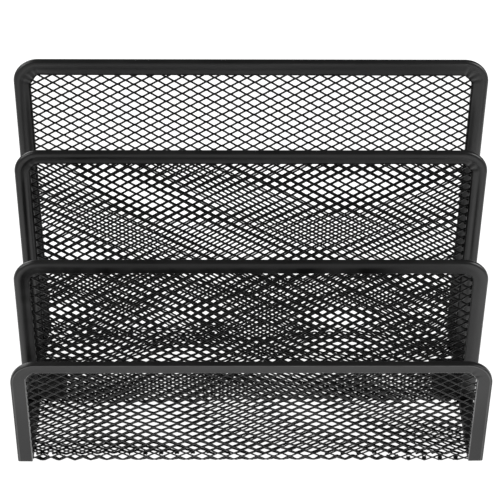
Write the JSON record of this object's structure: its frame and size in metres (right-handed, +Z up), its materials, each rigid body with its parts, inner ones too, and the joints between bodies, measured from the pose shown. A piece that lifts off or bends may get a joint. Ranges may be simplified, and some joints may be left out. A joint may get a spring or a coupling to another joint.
{
  "type": "desktop file sorter",
  "caption": "Stepped desk file sorter: upright mesh panels with folded rims, each taller than the one before it, on a mesh base, with open slots between them.",
  "frame": {"origin": "middle of the footprint, on the desk", "axes": "+X right along the panels, +Y from the front panel to the back panel, +Z up"},
  "size_m": [0.177, 0.0784, 0.131],
  "materials": {
    "rim_coat": "semi-matt black powder coat",
    "mesh_coat": "semi-matt black powder coat",
    "plate_coat": "semi-matt black powder coat"
  },
  "bodies": {
    "root": {"front_rim": "rim_coat", "front_divider_rim": "rim_coat", "rear_divider_rim": "rim_coat", "back_rim": "rim_coat", "front_mesh": "mesh_coat", "front_divider_mesh": "mesh_coat", "rear_divider_mesh": "mesh_coat", "back_mesh": "mesh_coat", "base_mesh": "mesh_coat", "left_base_strip": "rim_coat", "right_base_strip": "rim_coat", "left_foot_plate": "plate_coat", "right_foot_plate": "plate_coat"}
  },
  "joints": []
}
